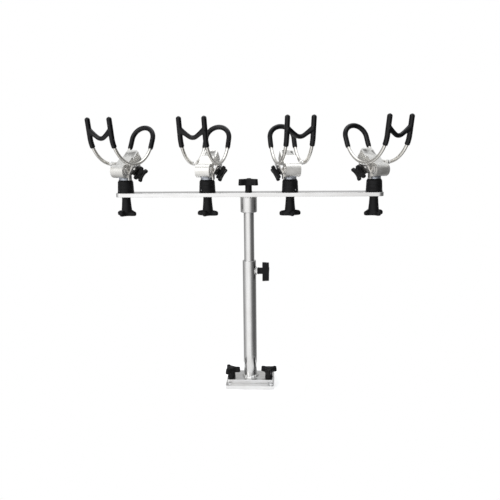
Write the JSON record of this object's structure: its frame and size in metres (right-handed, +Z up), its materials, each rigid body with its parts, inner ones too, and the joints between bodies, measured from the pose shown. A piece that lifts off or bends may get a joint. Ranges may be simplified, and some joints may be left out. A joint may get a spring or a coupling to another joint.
{
  "type": "fishing rod holder rack",
  "caption": "Boat rack for fishing rods: flat bar on a telescoping post with a clamped deck base and swivelling, tilting coated wire cradles.",
  "frame": {"origin": "centre of the deck plate's underside, in the middle of its screw pattern", "axes": "+Z up along the post, X along the cross bar, forks towards -Y"},
  "size_m": [0.7558, 0.203, 0.6779],
  "materials": {
    "satin_aluminium": "satin brushed",
    "cast_block": "machined",
    "weld": "rough weld bead",
    "stainless": "polished bent rod",
    "bracket_steel": "sheared sheet",
    "fastener": "plain",
    "black_plastic": "fine moulded texture",
    "hub_metal": "dark satin coat",
    "black_vinyl": "glossy dip coat"
  },
  "bodies": {
    "base": {"deck_plate": "satin_aluminium", "sole_plate": "satin_aluminium", "mast_sleeve": "satin_aluminium", "sleeve_weld": "weld", "clamp_boss": "satin_aluminium"},
    "base_knob_left": {"base_knob_left": "black_plastic"},
    "base_knob_right": {"base_knob_right": "black_plastic"},
    "mast_clamp": {"mast_clamp_knob": "black_plastic", "mast_clamp_bolt": "fastener"},
    "mast": {"mast_tube": "satin_aluminium", "mast_plug": "fastener"},
    "bar": {"cross_bar": "satin_aluminium", "bar_socket": "satin_aluminium", "socket_weld": "weld"},
    "bar_knob": {"bar_knob": "black_plastic", "bar_bolt": "fastener"},
    "swivel_1": {"swivel_collar_1": "black_plastic", "collar_screw_1": "fastener", "swivel_hub_1": "hub_metal"},
    "clamp_knob_1": {"clamp_knob_1": "black_plastic"},
    "cradle_1": {"tilt_block_1": "cast_block", "cradle_wire_1": "stainless", "rod_saddle_1": "stainless", "fork_coating_1": "black_vinyl", "arch_coating_1": "black_vinyl", "lock_bracket_1": "bracket_steel"},
    "star_knob_1": {"star_knob_1": "black_plastic"},
    "swivel_2": {"swivel_collar_2": "black_plastic", "collar_screw_2": "fastener", "swivel_hub_2": "hub_metal"},
    "clamp_knob_2": {"clamp_knob_2": "black_plastic"},
    "cradle_2": {"tilt_block_2": "cast_block", "cradle_wire_2": "stainless", "rod_saddle_2": "stainless", "fork_coating_2": "black_vinyl", "arch_coating_2": "black_vinyl", "lock_bracket_2": "bracket_steel"},
    "star_knob_2": {"star_knob_2": "black_plastic"},
    "swivel_3": {"swivel_collar_3": "black_plastic", "collar_screw_3": "fastener", "swivel_hub_3": "hub_metal"},
    "clamp_knob_3": {"clamp_knob_3": "black_plastic"},
    "cradle_3": {"tilt_block_3": "cast_block", "cradle_wire_3": "stainless", "rod_saddle_3": "stainless", "fork_coating_3": "black_vinyl", "arch_coating_3": "black_vinyl", "lock_bracket_3": "bracket_steel"},
    "star_knob_3": {"star_knob_3": "black_plastic"},
    "swivel_4": {"swivel_collar_4": "black_plastic", "collar_screw_4": "fastener", "swivel_hub_4": "hub_metal"},
    "clamp_knob_4": {"clamp_knob_4": "black_plastic"},
    "cradle_4": {"tilt_block_4": "cast_block", "cradle_wire_4": "stainless", "rod_saddle_4": "stainless", "fork_coating_4": "black_vinyl", "arch_coating_4": "black_vinyl", "lock_bracket_4": "bracket_steel"},
    "star_knob_4": {"star_knob_4": "black_plastic"}
  },
  "joints": [
    {"name": "base_knob_left_turn", "type": "hinge", "parent": "base", "child": "base_knob_left", "pos_m": [-0.048, -0.014, 0.019], "axis": [0, 0, 1], "continuous": true},
    {"name": "base_knob_right_turn", "type": "hinge", "parent": "base", "child": "base_knob_right", "pos_m": [0.048, -0.014, 0.019], "axis": [0, 0, 1], "continuous": true},
    {"name": "mast_clamp_turn", "type": "hinge", "parent": "base", "child": "mast_clamp", "pos_m": [0.03, 0, 0.297], "axis": [1, 0, 0], "continuous": true},
    {"name": "mast_slide", "type": "slide", "parent": "base", "child": "mast", "axis": [0, 0, 1], "range_m": [-0.11, 0.1]},
    {"name": "bar_swivel", "type": "hinge", "parent": "mast", "child": "bar", "pos_m": [0, 0, 0.47], "axis": [0, 0, 1], "continuous": true},
    {"name": "bar_knob_turn", "type": "hinge", "parent": "bar", "child": "bar_knob", "pos_m": [0, 0, 0.5], "axis": [0, 0, 1], "continuous": true},
    {"name": "swivel_1_turn", "type": "hinge", "parent": "bar", "child": "swivel_1", "pos_m": [-0.3048, 0, 0.495], "axis": [0, 0, 1], "continuous": true},
    {"name": "clamp_knob_1_turn", "type": "hinge", "parent": "swivel_1", "child": "clamp_knob_1", "pos_m": [-0.3048, 0, 0.485], "axis": [0, 0, 1], "continuous": true},
    {"name": "cradle_1_tilt", "type": "hinge", "parent": "swivel_1", "child": "cradle_1", "pos_m": [-0.31213, -0.01861, 0.549], "axis": [-0.9304, 0.3665, 0], "range_deg": [-32, 6]},
    {"name": "star_knob_1_turn", "type": "hinge", "parent": "cradle_1", "child": "star_knob_1", "pos_m": [-0.27503, 0.01299, 0.54327], "axis": [0.8215, -0.3236, -0.4695], "continuous": true},
    {"name": "swivel_2_turn", "type": "hinge", "parent": "bar", "child": "swivel_2", "pos_m": [-0.1016, 0, 0.495], "axis": [0, 0, 1], "continuous": true},
    {"name": "clamp_knob_2_turn", "type": "hinge", "parent": "swivel_2", "child": "clamp_knob_2", "pos_m": [-0.1016, 0, 0.485], "axis": [0, 0, 1], "continuous": true},
    {"name": "cradle_2_tilt", "type": "hinge", "parent": "swivel_2", "child": "cradle_2", "pos_m": [-0.10627, -0.01945, 0.549], "axis": [-0.9724, 0.2334, 0], "range_deg": [-32, 6]},
    {"name": "star_knob_2_turn", "type": "hinge", "parent": "cradle_2", "child": "star_knob_2", "pos_m": [-0.07393, 0.01701, 0.54327], "axis": [0.8586, -0.2061, -0.4695], "continuous": true},
    {"name": "swivel_3_turn", "type": "hinge", "parent": "bar", "child": "swivel_3", "pos_m": [0.1016, 0, 0.495], "axis": [0, 0, 1], "continuous": true},
    {"name": "clamp_knob_3_turn", "type": "hinge", "parent": "swivel_3", "child": "clamp_knob_3", "pos_m": [0.1016, 0, 0.485], "axis": [0, 0, 1], "continuous": true},
    {"name": "cradle_3_tilt", "type": "hinge", "parent": "swivel_3", "child": "cradle_3", "pos_m": [0.10661, -0.01936, 0.549], "axis": [-0.9681, -0.2504, 0], "range_deg": [-32, 6]},
    {"name": "star_knob_3_turn", "type": "hinge", "parent": "cradle_3", "child": "star_knob_3", "pos_m": [0.07364, 0.01652, 0.54327], "axis": [-0.8548, -0.2211, -0.4695], "continuous": true},
    {"name": "swivel_4_turn", "type": "hinge", "parent": "bar", "child": "swivel_4", "pos_m": [0.3048, 0, 0.495], "axis": [0, 0, 1], "continuous": true},
    {"name": "clamp_knob_4_turn", "type": "hinge", "parent": "swivel_4", "child": "clamp_knob_4", "pos_m": [0.3048, 0, 0.485], "axis": [0, 0, 1], "continuous": true},
    {"name": "cradle_4_tilt", "type": "hinge", "parent": "swivel_4", "child": "cradle_4", "pos_m": [0.31419, -0.01766, 0.549], "axis": [-0.8829, -0.4695, 0], "range_deg": [-32, 6]},
    {"name": "star_knob_4_turn", "type": "hinge", "parent": "cradle_4", "child": "star_knob_4", "pos_m": [0.27375, 0.00954, 0.54327], "axis": [-0.7796, -0.4145, -0.4695], "continuous": true}
  ]
}
